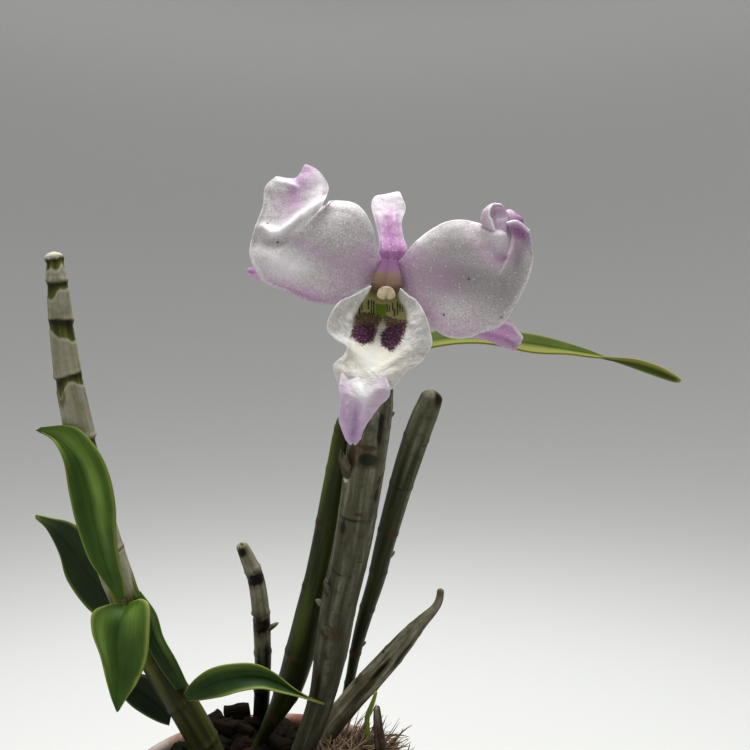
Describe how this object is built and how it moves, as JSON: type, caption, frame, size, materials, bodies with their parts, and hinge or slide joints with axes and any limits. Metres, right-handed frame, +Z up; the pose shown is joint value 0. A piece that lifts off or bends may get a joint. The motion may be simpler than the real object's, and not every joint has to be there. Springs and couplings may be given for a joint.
{
  "type": "potted dendrobium orchid",
  "caption": "Small orchid in a round clay pot: ringed upright canes in bark, strap leaves low on one cane, and an open pale lilac flower with a blotched lip.",
  "frame": {"origin": "centre of the pot's underside, on the surface the pot stands on", "axes": "+Z up, -Y towards the side that the flower faces, +X to the right seen from that side"},
  "size_m": [0.1715, 0.0938, 0.2303],
  "materials": {
    "clay": "matte fired clay, damp-dark inside the rim",
    "bark": "dark damp bark chips",
    "fibre": "coarse dry brown fibre",
    "papery_cane": "dry papery sheath over a ringed cane",
    "green_cane": "dark green ribbed cane, satin",
    "leaf": "smooth green leaf with a pale yellow-green edge, satin",
    "stalk": "pale green flower stalk, satin",
    "petal": "white petal washed with lilac, sparkling fine cells",
    "lip": "white lip, purple blotches and a lilac tip, velvety",
    "column": "olive-brown waxy column",
    "anther": "cream waxy cap"
  },
  "bodies": {
    "root": {"pot": "clay", "bark": "bark", "fibre": "fibre", "cane_leafy": "papery_cane", "cane_flowering": "papery_cane", "cane_green": "green_cane", "cane_rear": "green_cane", "cane_short": "papery_cane", "cane_slanting": "papery_cane", "cane_stub": "papery_cane", "young_shoot": "leaf", "leaf_upper": "leaf", "leaf_rear": "leaf", "leaf_front": "leaf", "leaf_right": "leaf", "leaf_low": "leaf", "leaf_sheath": "leaf", "strap_leaf": "leaf", "pedicel": "stalk", "petal_left": "petal", "petal_right": "petal", "dorsal_sepal": "petal", "sepal_left": "petal", "sepal_right": "petal", "lip": "lip", "column": "column", "anther_cap": "anther"}
  },
  "joints": []
}
